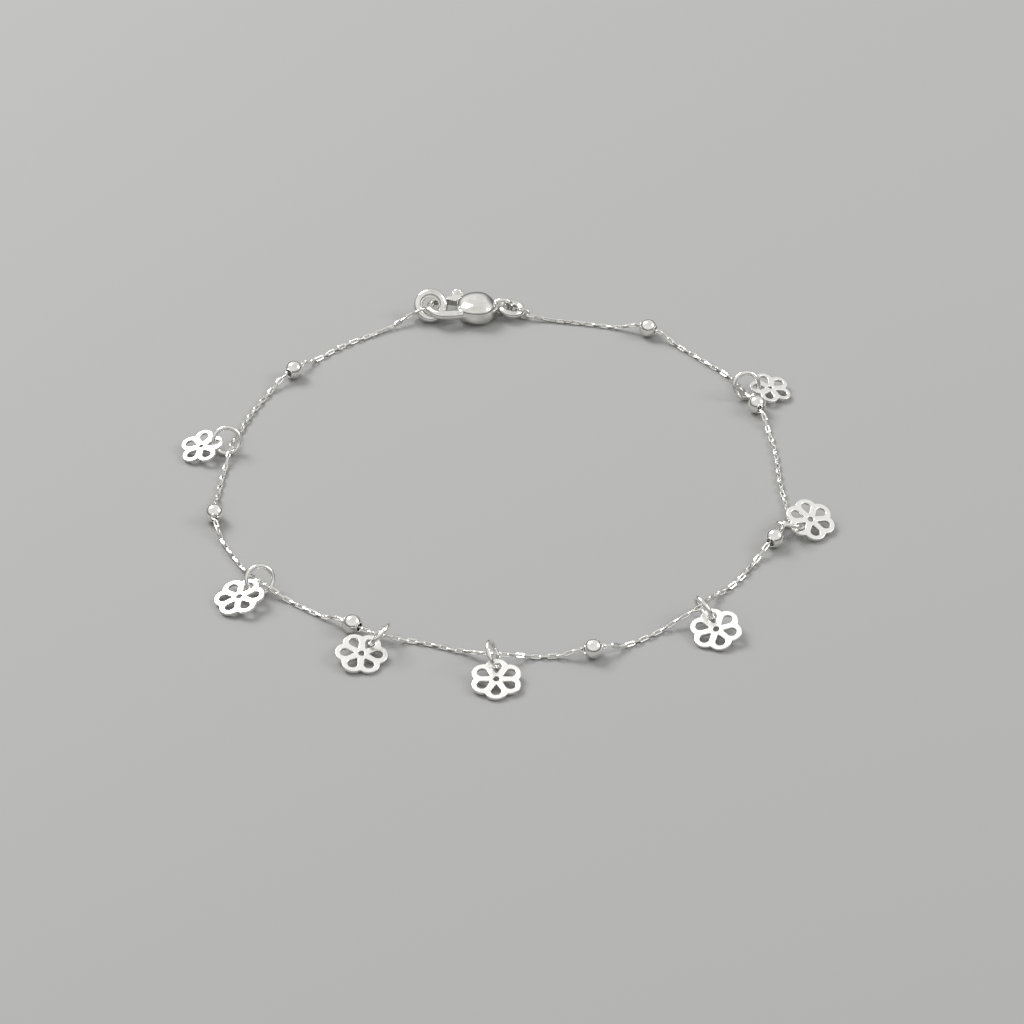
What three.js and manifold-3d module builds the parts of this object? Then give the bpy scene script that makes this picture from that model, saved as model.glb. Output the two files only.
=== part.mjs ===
// Charm anklet: a fine silver cable chain with seven ball beads and seven flower charms,
// closed into a loop by a lobster clasp that hooks a thick round ring.
// Millimetres, Z up; the anklet lies on the plane z = 0, centred on its own outline.
import * as THREE from "three";
import Module from "manifold-3d";

const wasm = await Module();
wasm.setup();

// Clearances
const REST_GAP = 0.02; // loose pieces above the surface the clasp rests on
const BORE_GAP = 0.16; // chain in a bead, at the radius
const PIN_GAP = 0.06; // lever on its pin, at the radius
const SLOT_GAP = 0.1; // lever in the body's slot, each side
const TIP_GAP = 0.08; // lever's end to the hook's tip
const LINK_GAP = 0.08; // end link round a ring's wire, at the radius

// Chain
const CHAIN_RADIUS = 0.36;
const CHAIN_FLOOR = 0.44; // height of the chain's middle where it lies flat
const CHAIN_STEP = 2;
const CHAIN_SIDES = 8;
const LINK_WIRE = 0.17;
const LINK_HALF_LENGTH = 1;

// Beads
const BEAD_RADIUS = 1.257;
const BEAD_LIP_RADIUS = 0.7;
const BEAD_LIP = 0.1;
const BEAD_FLAT = 2.1; // the chain stays level this far either side of a bead's middle
const BEAD_FALL = 3.2;
const BEADS_ALONG = [16.7, 51.3, 82.2, 113.8, 147.6, 178.1, 201.9];

// Flower charms
const SHEET = 0.45;
const SIX = {
  petals: 6, petal_at: 1.78, petal_radius: 1.5,
  hole_from: 1.06, hole_to: 2.03, hole_tip: 0.1, hole_radius: 0.65, eye_radius: 0.4,
};
const FIVE = {
  petals: 5, petal_at: 1.7, petal_radius: 1.26,
  hole_from: 0.93, hole_to: 1.83, hole_tip: 0.1, hole_radius: 0.62, eye_radius: 0.3,
};
const CHARM_RING_RADIUS = 1.75;
const CHARM_RING_WIRE = 0.3;
const HUMP_FLAT = 0.6;
const HUMP_SLOPE = 0.3;

// Each charm: its ring stands at `along` the chain, moved `forward` and `out` of the loop, its axis
// faces `facing` and leans up by `lean`; the flower lies `hang` behind the ring and `sway` aside of
// it, pointing its ring petal at `heading`, raised by `lift` and `tilt`; the chain crosses the ring
// at height `over`.
const CHARMS = [
  { shape: FIVE, along: 36.4, forward: -0.32, out: 0.69, facing: -84.1, lean: 26.6, over: 1.33,
    heading: 6.2, lift: 13.6, tilt: 7.6, hang: 3.41, sway: -0.13, rise: 0.17 },
  { shape: SIX, along: 67.8, forward: -0.17, out: 0.07, facing: -69.5, lean: 31, over: 1.41,
    heading: 56.1, lift: 10.5, tilt: -7.3, hang: 3.48, sway: 0.64, rise: 0.06 },
  { shape: SIX, along: 86.1, forward: 0.27, out: 0.65, facing: 154, lean: 37, over: 1.28,
    heading: 58.7, lift: 6.1, tilt: 9.3, hang: 3.38, sway: 0.34, rise: 0.02 },
  { shape: SIX, along: 101.6, forward: -0.23, out: 0.7, facing: -1.6, lean: 24.5, over: 1.55,
    heading: 89.3, lift: 8.6, tilt: 0.1, hang: 3.36, sway: -0.4, rise: 0.07 },
  { shape: SIX, along: 129.3, forward: 0, out: 0.83, facing: 31.6, lean: 19.2, over: 1.86,
    heading: 103.2, lift: 12.5, tilt: -9.3, hang: 3.21, sway: -0.67, rise: 0.02 },
  { shape: SIX, along: 151.1, forward: -0.26, out: 0.49, facing: 73.1, lean: 53.8, over: 1.3,
    heading: -134.2, lift: -2.5, tilt: -19.2, hang: 2.67, sway: 1.34, rise: 0.15 },
  { shape: FIVE, along: 181.6, forward: 0.29, out: 0.44, facing: -76.9, lean: 25.4, over: 1.21,
    heading: -168.4, lift: 10.6, tilt: -7.5, hang: 3.35, sway: 0.19, rise: 0.19 },
];

// Rings at the clasp
const END_RING_RADIUS = 1.77;
const END_RING_WIRE = 0.63;
const END_RING_LEAN = 37; // its axis above level
const END_RING_AT = [-11.45, 45.4];
const CLASP_RING_RADIUS = 1.46;
const CLASP_RING_WIRE = 0.5;
const CLASP_RING_TILT = 9;
const CLASP_RING_AT = [-0.04, 45.95, 1.17];
const END_LINK_TURN = 205; // where round each ring the chain's end link sits
const CLASP_LINK_TURN = 245;

// Clasp, along its own length from the tail eye to the hook's front
const CLASP_AT = [-0.06, 46.33, 1.38];
const CLASP_YAW = 187;
const CLASP_PITCH = 2.7;
const EYE_AT = 1.35;
const EYE_RADIUS = 1;
const EYE_STRETCH = 1.2;
const EYE_WIRE = 0.35;
const LOBE_PROFILE = [
  [2.2, 0], [2.25, 0.85], [2.6, 1.35], [3.2, 2.0], [3.9, 2.55], [4.7, 2.75],
  [5.6, 2.65], [6.5, 2.3], [7.2, 1.75], [7.7, 1.05], [7.9, 0],
];
const LOBE_FLATTENING = 0.611;
const LOBE_SQUARENESS = 3; // 2 is an ellipse across the lobe, and more is fuller at the shoulders
const LOBE_ASIDE = 0.25;
const HOOK_WIRE = 0.56;
const HOOK_RADIUS = 1.85;
const HOOK_ARC_AT = 9.72;
const HOOK_STEPS = 12;
const HOOK_ROOT = [[5.6, 1.1], [7.2, 1.7]];
const HOOK_MOUTH_FROM = 7.7;
const PIVOT_AT = [6.3, -1.3];
const PIN_RADIUS = 0.3;
const PIN_HALF_LENGTH = 1.1;
const BOSS_RADIUS = 0.62;
const LEVER_THICKNESS = 1;
const LEVER_REACH = 2.93;
const LEVER_INNER = -1.45;
const LEVER_OUTER = -2.3;
const THUMB_TOP = 1.05;
const UNDERSIDE = 60; // block that the clasp's resting flat is cut by

// The chain's path in plan, from the end ring round the loop to the clasp ring
const CHAIN_ROUTE = [
  [-17.7, 41.9], [-22.8, 38.5], [-27.6, 33.9], [-30.0, 30.7], [-32.3, 28.0], [-34.9, 22.6],
  [-36.6, 17.1], [-37.4, 12.8], [-38.0, 9.5], [-38.7, 1.4], [-38.7, -1.9], [-37.7, -6.0],
  [-34.0, -13.2], [-31.8, -16.7], [-28.6, -18.8], [-23.4, -22.6], [-20.0, -24.9],
  [-16.6, -27.0], [-12.2, -27.2], [-5.9, -29.4], [-2.0, -31.2], [2.1, -30.3], [6.1, -30.2],
  [10.1, -29.8], [13.5, -28.5], [19.6, -24.5], [23.6, -22.2], [25.4, -18.9], [28.8, -14.9],
  [31.8, -10.1], [33.9, -7.2], [35.5, -4.1], [35.9, -1.1], [35.4, 5.7], [35.1, 12.8],
  [34.3, 18.8], [33.2, 22.5], [31.6, 25.7], [30.1, 29.9], [26.5, 34.2], [22.4, 38.5],
  [19.0, 41.0], [15.2, 42.3], [10.8, 43.4], [5.7, 44.3],
];

const SEGMENTS = 16; // round things, seen along their axis
const WIRE_SIDES = 8;
const THICK_SIDES = 10;
const LOBE_SIDES = 24;

const rad = THREE.MathUtils.degToRad;
const group = new THREE.Group();

function silver(colour, roughness) {
  return new THREE.MeshStandardMaterial({ color: colour, roughness, metalness: 1 });
}
const SILVER = {
  chain: silver(0xd9d9d6, 0.25),
  bead: silver(0xe2e2e0, 0.12),
  charm: silver(0xdededb, 0.35),
  clasp: silver(0xd6d6d4, 0.22),
};

function add(name, geometry, material) {
  const mesh = new THREE.Mesh(geometry, material.clone());
  mesh.name = name;
  group.add(mesh);
  return mesh;
}

function toSolid(geometry) {
  const flat = geometry.index ? geometry.toNonIndexed() : geometry;
  const position = flat.getAttribute("position").array;
  const corners = new Map();
  const vertices = [];
  const triangles = [];
  for (let i = 0; i < position.length; i += 3) {
    const point = [position[i], position[i + 1], position[i + 2]];
    const key = point.map((v) => Math.round(v * 1e4)).join(",");
    if (!corners.has(key)) {
      corners.set(key, corners.size);
      vertices.push(...point);
    }
    triangles.push(corners.get(key));
  }
  const kept = [];
  for (let i = 0; i < triangles.length; i += 3) {
    const [a, b, c] = triangles.slice(i, i + 3);
    if (a !== b && b !== c && a !== c) kept.push(a, b, c);
  }
  return new wasm.Manifold(new wasm.Mesh({
    numProp: 3,
    vertProperties: new Float32Array(vertices),
    triVerts: new Uint32Array(kept),
  }));
}

function toGeometry(solid) {
  const mesh = solid.getMesh();
  const geometry = new THREE.BufferGeometry();
  geometry.setAttribute("position", new THREE.BufferAttribute(mesh.vertProperties, 3));
  geometry.setIndex(new THREE.BufferAttribute(mesh.triVerts, 1));
  return geometry;
}

function join(...geometries) {
  return geometries.map(toSolid).reduce((sum, next) => sum.add(next));
}

// A frame whose X, Y and Z are the given unit vectors, standing at `at`.
function frameOf(x, y, z, at) {
  return new THREE.Matrix4().makeBasis(x, y, z).setPosition(at);
}

// A direction at `azimuth` in plan, raised by `elevation`, both in degrees.
function direction(azimuth, elevation) {
  return new THREE.Vector3(
    Math.cos(rad(elevation)) * Math.cos(rad(azimuth)),
    Math.cos(rad(elevation)) * Math.sin(rad(azimuth)),
    Math.sin(rad(elevation)),
  );
}

// A frame whose Z is `axis`, X level.
function frameAbout(axis, at) {
  const x = new THREE.Vector3(0, 0, 1).cross(axis).normalize();
  return frameOf(x, axis.clone().cross(x), axis, at);
}

function box(x0, x1, y0, y1, z0, z1) {
  return new THREE.BoxGeometry(x1 - x0, y1 - y0, z1 - z0)
    .translate((x0 + x1) / 2, (y0 + y1) / 2, (z0 + z1) / 2);
}

function post(radius, half, x, y) {
  return new THREE.CylinderGeometry(radius, radius, 2 * half, SEGMENTS)
    .rotateX(Math.PI / 2)
    .translate(x, y, 0);
}

function plate(points, thickness) {
  const shape = new THREE.Shape(points.map(([x, y]) => new THREE.Vector2(x, y)));
  return new THREE.ExtrudeGeometry(shape, { depth: thickness, bevelEnabled: false })
    .translate(0, 0, -thickness / 2);
}

function bar(curve, radius, sides, steps) {
  const round = new THREE.Shape(
    Array.from({ length: sides }, (_, i) => {
      const a = (2 * Math.PI * i) / sides;
      return new THREE.Vector2(radius * Math.cos(a), radius * Math.sin(a));
    }),
  );
  return new THREE.ExtrudeGeometry(round, { steps, extrudePath: curve, bevelEnabled: false });
}

// The rings that the chain's two ends hold
const endRingAxis = direction(-90, END_RING_LEAN);
const endRingHeight = END_RING_RADIUS * Math.cos(rad(END_RING_LEAN)) + END_RING_WIRE + REST_GAP;
const endRingFrame = frameAbout(endRingAxis, new THREE.Vector3(...END_RING_AT, endRingHeight));
const claspRingAxis = direction(0, 90 - CLASP_RING_TILT);
const claspRingFrame = frameAbout(claspRingAxis, new THREE.Vector3(...CLASP_RING_AT));

// The point of a ring's wire at `turn` degrees round it, and the wire's direction there
function onRing(frame, radius, turn) {
  const at = new THREE.Vector3(Math.cos(rad(turn)), Math.sin(rad(turn)), 0)
    .multiplyScalar(radius)
    .applyMatrix4(frame);
  const along = new THREE.Vector3(-Math.sin(rad(turn)), Math.cos(rad(turn)), 0)
    .transformDirection(frame);
  return { at, along };
}

// An oval link round a ring's wire; the chain leaves it towards `to`.
function endLink(hold, wire, to) {
  const out = to.clone().sub(hold.at).projectOnPlane(hold.along).normalize();
  const side = hold.along.clone().cross(out);
  const half = wire + LINK_GAP + LINK_WIRE;
  const middle = hold.at.clone().addScaledVector(out, LINK_HALF_LENGTH - half);
  const loop = new THREE.CatmullRomCurve3(Array.from({ length: SEGMENTS }, (_, i) => {
    const a = (2 * Math.PI * (i + 0.5)) / SEGMENTS;
    const straight = Math.sign(Math.cos(a)) * (LINK_HALF_LENGTH - half);
    return new THREE.Vector3(half * Math.cos(a) + straight, half * Math.sin(a), 0);
  }), true);
  const shape = new THREE.TubeGeometry(loop, SEGMENTS, LINK_WIRE, 6, true)
    .applyMatrix4(frameOf(out, side, hold.along, middle));
  return { shape, tip: middle.addScaledVector(out, LINK_HALF_LENGTH) };
}

// Chain: level on the surface, rising over each ring and through each bead
const plan = new THREE.CatmullRomCurve3(
  CHAIN_ROUTE.map(([x, y]) => new THREE.Vector3(x, y, 0)), false, "centripetal",
);
plan.arcLengthDivisions = 2000;
const planLength = plan.getLength();

function chainHeight(along) {
  let height = CHAIN_FLOOR;
  for (const bead of BEADS_ALONG) {
    const past = Math.max(Math.abs(along - bead) - BEAD_FLAT, 0) / BEAD_FALL;
    const share = Math.max(1 - past, 0);
    height = Math.max(height, CHAIN_FLOOR + (BEAD_RADIUS - CHAIN_FLOOR) * share ** 1.5);
  }
  for (const charm of CHARMS) {
    const past = Math.max(Math.abs(along - charm.along) - HUMP_FLAT, 0);
    height = Math.max(height, charm.over - HUMP_SLOPE * past);
  }
  return height;
}

function chainPoint(along) {
  const point = plan.getPointAt(Math.min(along / planLength, 1));
  point.z = chainHeight(along);
  return point;
}

const start = endLink(
  onRing(endRingFrame, END_RING_RADIUS, END_LINK_TURN), END_RING_WIRE, chainPoint(0),
);
const finish = endLink(
  onRing(claspRingFrame, CLASP_RING_RADIUS, CLASP_LINK_TURN), CLASP_RING_WIRE,
  chainPoint(planLength),
);
const stations = Math.round(planLength / CHAIN_STEP);
const path = new THREE.CatmullRomCurve3([
  start.tip,
  ...Array.from({ length: stations + 1 }, (_, i) => chainPoint((planLength * i) / stations)),
  finish.tip,
], false, "centripetal");
path.arcLengthDivisions = 2000;
const chainSteps = Math.round(path.getLength() / CHAIN_STEP);
add("chain", toGeometry(join(
  bar(path, CHAIN_RADIUS, CHAIN_SIDES, chainSteps), start.shape, finish.shape,
)), SILVER.chain);

// Beads: drilled balls with a small raised lip at each end of the bore
function beadShape() {
  const bore = CHAIN_RADIUS + BORE_GAP;
  const lipEnd = Math.sqrt(BEAD_RADIUS ** 2 - BEAD_LIP_RADIUS ** 2) + BEAD_LIP;
  const from = Math.asin(BEAD_LIP_RADIUS / BEAD_RADIUS);
  const arc = Array.from({ length: 7 }, (_, i) => {
    const a = from + ((Math.PI - 2 * from) * i) / 6;
    return new THREE.Vector2(BEAD_RADIUS * Math.sin(a), -BEAD_RADIUS * Math.cos(a));
  });
  const profile = [
    new THREE.Vector2(bore, -lipEnd),
    new THREE.Vector2(BEAD_LIP_RADIUS, -lipEnd),
    ...arc,
    new THREE.Vector2(BEAD_LIP_RADIUS, lipEnd),
    new THREE.Vector2(bore, lipEnd),
    new THREE.Vector2(bore, -lipEnd),
  ];
  return new THREE.LatheGeometry(profile, SEGMENTS).rotateX(Math.PI / 2);
}

BEADS_ALONG.forEach((along, i) => {
  const axis = chainPoint(along + BEAD_RADIUS).sub(chainPoint(along - BEAD_RADIUS)).normalize();
  const at = chainPoint(along);
  add("bead_" + (i + 1), beadShape().applyMatrix4(frameAbout(axis, at)), SILVER.bead);
});

// Flower charms: pierced sheet, one petal hole on its jump ring
function arcPoints(x, y, radius, from, to, steps) {
  return Array.from({ length: steps + 1 }, (_, i) => {
    const a = from + ((to - from) * i) / steps;
    return new THREE.Vector2(x + radius * Math.cos(a), y + radius * Math.sin(a));
  });
}

function petalHole(form, a) {
  const lean = Math.acos((form.hole_radius - form.hole_tip) / (form.hole_to - form.hole_from));
  const wide = Math.PI - lean;
  const [x, y] = [Math.cos(a), Math.sin(a)];
  return new THREE.Path([
    ...arcPoints(form.hole_to * x, form.hole_to * y, form.hole_radius, a - wide, a + wide, 6),
    ...arcPoints(form.hole_from * x, form.hole_from * y, form.hole_tip, a + wide,
      a + 2 * Math.PI - wide, 1),
  ]);
}

function flower(form) {
  const step = (2 * Math.PI) / form.petals;
  const half = step / 2;
  const across = form.petal_at * Math.sin(half);
  const notch = form.petal_at * Math.cos(half) + Math.sqrt(form.petal_radius ** 2 - across ** 2);
  const turn = Math.atan2(notch * Math.sin(half), notch * Math.cos(half) - form.petal_at);
  const turns = Array.from({ length: form.petals }, (_, k) => step * k);
  const outline = new THREE.Shape(turns.flatMap((a) => arcPoints(
    form.petal_at * Math.cos(a), form.petal_at * Math.sin(a), form.petal_radius,
    a - turn, a + turn, 5,
  ).slice(0, 5)));
  outline.holes = [
    ...turns.map((a) => petalHole(form, a)),
    new THREE.Path(arcPoints(0, 0, form.eye_radius, 0, 2 * Math.PI, 8).slice(0, 8)),
  ];
  return new THREE.ExtrudeGeometry(outline, { depth: SHEET, bevelEnabled: false })
    .translate(0, 0, -SHEET / 2);
}

CHARMS.forEach((charm, i) => {
  const q = chainPoint(charm.along);
  const t = plan.getTangentAt(charm.along / planLength);
  const ringAt = new THREE.Vector3(
    q.x + charm.forward * t.x + charm.out * t.y,
    q.y + charm.forward * t.y - charm.out * t.x,
    CHARM_RING_RADIUS * Math.cos(rad(charm.lean)) + CHARM_RING_WIRE + REST_GAP,
  );
  const ring = new THREE.TorusGeometry(CHARM_RING_RADIUS, CHARM_RING_WIRE, WIRE_SIDES, SEGMENTS)
    .applyMatrix4(frameAbout(direction(charm.facing, charm.lean), ringAt));
  add("charm_ring_" + (i + 1), ring, SILVER.charm);

  const h = direction(charm.heading, charm.lift);
  const ahead = direction(charm.heading, 0);
  const level = direction(charm.heading + 90, 0);
  const s = level.clone().multiplyScalar(Math.cos(rad(charm.tilt)))
    .addScaledVector(h.clone().cross(level), Math.sin(rad(charm.tilt)));
  const n = h.clone().cross(s);
  const form = charm.shape;
  let low = 0;
  for (let k = 0; k < form.petals; k++) {
    const a = (2 * Math.PI * k) / form.petals;
    low = Math.max(low, -form.petal_at * (Math.cos(a) * h.z + Math.sin(a) * s.z));
  }
  low += form.petal_radius * Math.hypot(h.z, s.z) + (SHEET / 2) * n.z;
  const at = ringAt.clone().addScaledVector(ahead, -charm.hang).addScaledVector(level, charm.sway);
  at.z = low + charm.rise;
  add("charm_" + (i + 1), flower(form).applyMatrix4(frameOf(h, s, n, at)), SILVER.charm);
});

// End ring and clasp ring
add("end_ring", new THREE.TorusGeometry(END_RING_RADIUS, END_RING_WIRE, THICK_SIDES, 20)
  .applyMatrix4(endRingFrame), SILVER.clasp);
add("clasp_ring", new THREE.TorusGeometry(CLASP_RING_RADIUS, CLASP_RING_WIRE, THICK_SIDES, 20)
  .applyMatrix4(claspRingFrame), SILVER.clasp);

// Lobster clasp, drawn along X with its mouth on the -Y side, then laid in place
const claspFrame = new THREE.Matrix4().makeTranslation(...CLASP_AT)
  .multiply(new THREE.Matrix4().makeRotationZ(rad(CLASP_YAW)))
  .multiply(new THREE.Matrix4().makeRotationY(rad(-CLASP_PITCH)));

function laid(solid) {
  return toSolid(toGeometry(solid).applyMatrix4(claspFrame));
}

const slotHalf = LEVER_THICKNESS / 2 + SLOT_GAP;
// Fills out the shoulders of a round section about X.
function squared(geometry, power) {
  const position = geometry.getAttribute("position");
  for (let i = 0; i < position.count; i++) {
    const [y, z] = [position.getY(i), position.getZ(i)];
    const radius = Math.hypot(y, z) || 1;
    const reach = (Math.abs(y / radius) ** power + Math.abs(z / radius) ** power) ** (1 / power);
    position.setXYZ(i, position.getX(i), y / reach, z / reach);
  }
  return geometry;
}

const eye = new THREE.TorusGeometry(EYE_RADIUS, EYE_WIRE, WIRE_SIDES, SEGMENTS)
  .rotateX(Math.PI / 2)
  .scale(EYE_STRETCH, 1, 1)
  .translate(EYE_AT, 0, 0);
const lobePoints = LOBE_PROFILE.map(([x, r]) => new THREE.Vector2(r, x));
const lobe = squared(
  new THREE.LatheGeometry(lobePoints, LOBE_SIDES).rotateZ(-Math.PI / 2), LOBE_SQUARENESS,
)
  .scale(1, 1, LOBE_FLATTENING)
  .translate(0, LOBE_ASIDE, 0);
const tipAt = PIVOT_AT[0] + LEVER_REACH + TIP_GAP;
const hookPoints = [
  ...HOOK_ROOT.map(([x, y]) => new THREE.Vector3(x, y, 0)),
  ...Array.from({ length: HOOK_STEPS + 1 }, (_, i) => {
    const a = Math.PI / 2 - (Math.PI * i) / HOOK_STEPS;
    return new THREE.Vector3(
      HOOK_ARC_AT + HOOK_RADIUS * Math.cos(a), HOOK_RADIUS * Math.sin(a), 0,
    );
  }),
  new THREE.Vector3(tipAt, -HOOK_RADIUS, 0),
];
const hook = bar(
  new THREE.CatmullRomCurve3(hookPoints, false, "centripetal"), HOOK_WIRE, THICK_SIDES, 18,
);
const mouth = post(HOOK_RADIUS - HOOK_WIRE, 4, HOOK_MOUTH_FROM + HOOK_RADIUS - HOOK_WIRE, 0);
const slot = box(PIVOT_AT[0] - BOSS_RADIUS - 0.15, tipAt, -5, -0.35, -slotHalf, slotHalf);
const pin = post(PIN_RADIUS, PIN_HALF_LENGTH, ...PIVOT_AT);
const below = toSolid(new THREE.BoxGeometry(UNDERSIDE, UNDERSIDE, UNDERSIDE)
  .translate(CLASP_AT[0], CLASP_AT[1], -UNDERSIDE / 2));
const body = laid(
  toSolid(lobe).subtract(toSolid(mouth)).subtract(toSolid(slot))
    .add(toSolid(eye)).add(toSolid(hook)).add(toSolid(pin)),
).subtract(below);
add("clasp_body", toGeometry(body), SILVER.clasp);

// Lever: a flat arm on the pin, its end following an arc about the pin, with a thumb tab outside
const arm = [
  [PIVOT_AT[0], PIVOT_AT[1] + BOSS_RADIUS - 0.05],
  ...[LEVER_INNER, (LEVER_INNER + LEVER_OUTER) / 2, LEVER_OUTER].map((y) => [
    PIVOT_AT[0] + Math.sqrt(LEVER_REACH ** 2 - (y - PIVOT_AT[1]) ** 2), y,
  ]),
  [8.2, -2.35],
  [6.5, -1.95],
].reverse();
const tab = [[6.5, -1.75], [6.55, -3.4], [6.95, -3.85], [7.75, -3.85], [8.2, -3.4], [8.3, -2.0]];
const thumb = [
  [6.53, -3.15], [6.57, -3.5], [6.97, -3.95], [7.73, -3.95], [8.18, -3.5], [8.22, -3.15],
];
const lever = join(
  post(BOSS_RADIUS, LEVER_THICKNESS / 2, ...PIVOT_AT),
  plate(arm, LEVER_THICKNESS),
  plate(tab, LEVER_THICKNESS),
  plate(thumb, 2 * THUMB_TOP),
).subtract(toSolid(post(PIN_RADIUS + PIN_GAP, LEVER_THICKNESS, ...PIVOT_AT)));
add("clasp_lever", toGeometry(laid(lever)), SILVER.clasp);

// The part's frame: the middle of its outline, on the surface it lies on
const outline = new THREE.Box3().setFromObject(group);
const middle = outline.getCenter(new THREE.Vector3());
group.children.forEach((mesh) => mesh.geometry.translate(-middle.x, -middle.y, 0));

export default group;
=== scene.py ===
import bisect
import math
import random

import bmesh
import bpy
import numpy
from mathutils import Matrix, Vector


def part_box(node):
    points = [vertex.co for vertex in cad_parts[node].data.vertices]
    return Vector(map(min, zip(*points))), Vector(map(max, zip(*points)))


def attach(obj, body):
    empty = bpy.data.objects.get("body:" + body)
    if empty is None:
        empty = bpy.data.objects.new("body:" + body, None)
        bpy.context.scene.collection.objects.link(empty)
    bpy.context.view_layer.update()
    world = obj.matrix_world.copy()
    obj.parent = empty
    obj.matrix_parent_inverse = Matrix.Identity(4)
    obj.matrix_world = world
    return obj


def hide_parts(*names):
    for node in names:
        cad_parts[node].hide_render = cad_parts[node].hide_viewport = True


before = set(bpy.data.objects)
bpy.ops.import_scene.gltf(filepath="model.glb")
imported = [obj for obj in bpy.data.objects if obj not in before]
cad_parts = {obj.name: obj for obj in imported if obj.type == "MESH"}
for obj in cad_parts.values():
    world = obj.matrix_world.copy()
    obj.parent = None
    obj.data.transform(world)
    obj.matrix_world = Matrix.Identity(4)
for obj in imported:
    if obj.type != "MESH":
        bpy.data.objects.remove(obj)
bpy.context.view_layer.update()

# ---------------------------------------------------------------------------------------------
# Cable chain
# Fine elongated cable chain of drawn sterling silver wire. Every link is bent from round wire,
# closed through the one before it and soldered, and the finished chain is tumbled bright.
# A larger oval link at each end holds the end ring and the clasp's ring.
# ---------------------------------------------------------------------------------------------
MM = 0.001

LINK_WIRE = 0.13  # radius, millimetres
LINK_BEND = 0.215  # radius of the link's round ends, to the middle of the wire
LINK_STRAIGHT = 0.44  # half the length between the two bends
LINK_PITCH = 1.04
LINK_SIDES = 6
LINK_BEND_STEPS = 5
LINK_REST = math.radians(45)  # cable links lie leaning on alternate edges
LINK_WOBBLE = math.radians(13)
SETTLE = 9  # links over which the roll turns from the end link's to the resting one

END_LINK_WIRE = 0.17
END_LINK_GAP = 0.08
END_LINK_HALF = 1.0
END_LINK_SIDES = 12
END_LINK_STEPS = 14

CHAIN_FLOOR = 0.3
BEADS_ALONG = (16.7, 51.3, 82.2, 113.8, 147.6, 178.1, 201.9)
BEAD_RADIUS = 1.257
BEAD_FLAT = 2.1
BEAD_FALL = 3.2
CHARMS_ALONG = (
    (36.4, 1.33), (67.8, 1.41), (86.1, 1.28), (101.6, 1.55), (129.3, 1.86), (151.1, 1.3),
    (181.6, 1.21),
)
CHARM_FLAT = 0.6
CHARM_SLOPE = 0.3
STATION = 2.0
ROUTE_STEPS = 60
CHAIN_STEPS = 20

END_RING = dict(radius=1.77, wire=0.63, at=(-11.45, 45.4), lean=37.0, hold=205.0)
CLASP_RING = dict(radius=1.46, wire=0.5, at=(-0.04, 45.95, 1.17), lean=81.0, hold=245.0)
REST_GAP = 0.02

ROUTE = (
    (-17.7, 41.9), (-22.8, 38.5), (-27.6, 33.9), (-30.0, 30.7), (-32.3, 28.0), (-34.9, 22.6),
    (-36.6, 17.1), (-37.4, 12.8), (-38.0, 9.5), (-38.7, 1.4), (-38.7, -1.9), (-37.7, -6.0),
    (-34.0, -13.2), (-31.8, -16.7), (-28.6, -18.8), (-23.4, -22.6), (-20.0, -24.9),
    (-16.6, -27.0), (-12.2, -27.2), (-5.9, -29.4), (-2.0, -31.2), (2.1, -30.3), (6.1, -30.2),
    (10.1, -29.8), (13.5, -28.5), (19.6, -24.5), (23.6, -22.2), (25.4, -18.9), (28.8, -14.9),
    (31.8, -10.1), (33.9, -7.2), (35.5, -4.1), (35.9, -1.1), (35.4, 5.7), (35.1, 12.8),
    (34.3, 18.8), (33.2, 22.5), (31.6, 25.7), (30.1, 29.9), (26.5, 34.2), (22.4, 38.5),
    (19.0, 41.0), (15.2, 42.3), (10.8, 43.4), (5.7, 44.3),
)


def linear(colour):
    """An sRGB hex colour as the linear one that the shader takes."""
    parts = [int(colour[i:i + 2], 16) / 255 for i in (1, 3, 5)]
    return (*[c / 12.92 if c <= 0.04045 else ((c + 0.055) / 1.055) ** 2.4 for c in parts], 1.0)


def add_node(tree, kind, links=(), values=(), **settings):
    """Adds a node with its settings, its input values and the links that come into it."""
    made = tree.nodes.new(kind)
    for name, value in settings.items():
        setattr(made, name, value)
    for name, value in dict(values).items():
        made.inputs[name].default_value = value
    for name, source in dict(links).items():
        tree.links.new(source, made.inputs[name])
    return made


def sterling(name, bright, dull, rough, grain, relief, stain):
    """Sterling silver between two colours. `rough` is the least and most roughness, `grain` the
    size of its finest marks and `stain` that of its cloudy patches, both in millimetres, and
    `relief` the height of the marks."""
    metal = bpy.data.materials.new(name)
    metal.use_nodes = True
    tree = metal.node_tree
    tree.nodes.clear()
    place = add_node(tree, "ShaderNodeTexCoord").outputs["Object"]
    clouds = add_node(tree, "ShaderNodeTexNoise", {"Vector": place},
                      {"Scale": 1 / (stain * MM), "Detail": 4.0, "Roughness": 0.6})
    marks = add_node(tree, "ShaderNodeTexNoise", {"Vector": place},
                     {"Scale": 1 / (grain * MM), "Detail": 3.0, "Roughness": 0.55})
    tone = add_node(tree, "ShaderNodeValToRGB", {"Fac": clouds.outputs["Fac"]})
    tone.color_ramp.elements[0].position = 0.3
    tone.color_ramp.elements[0].color = linear(dull)
    tone.color_ramp.elements[1].position = 0.62
    tone.color_ramp.elements[1].color = linear(bright)
    dulled = add_node(tree, "ShaderNodeMapRange",
                      {"Value": clouds.outputs["Fac"]},
                      {"From Min": 0.3, "From Max": 0.7, "To Min": rough[1], "To Max": rough[0]})
    bump = add_node(tree, "ShaderNodeBump", {"Height": marks.outputs["Fac"]},
                    {"Strength": 1.0, "Distance": relief * MM})
    skin = add_node(tree, "ShaderNodeBsdfPrincipled",
                    {"Base Color": tone.outputs["Color"], "Roughness": dulled.outputs["Result"],
                     "Normal": bump.outputs["Normal"]},
                    {"Metallic": 1.0})
    add_node(tree, "ShaderNodeOutputMaterial", {"Surface": skin.outputs["BSDF"]})
    return metal


SHARP = math.radians(38)


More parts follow.
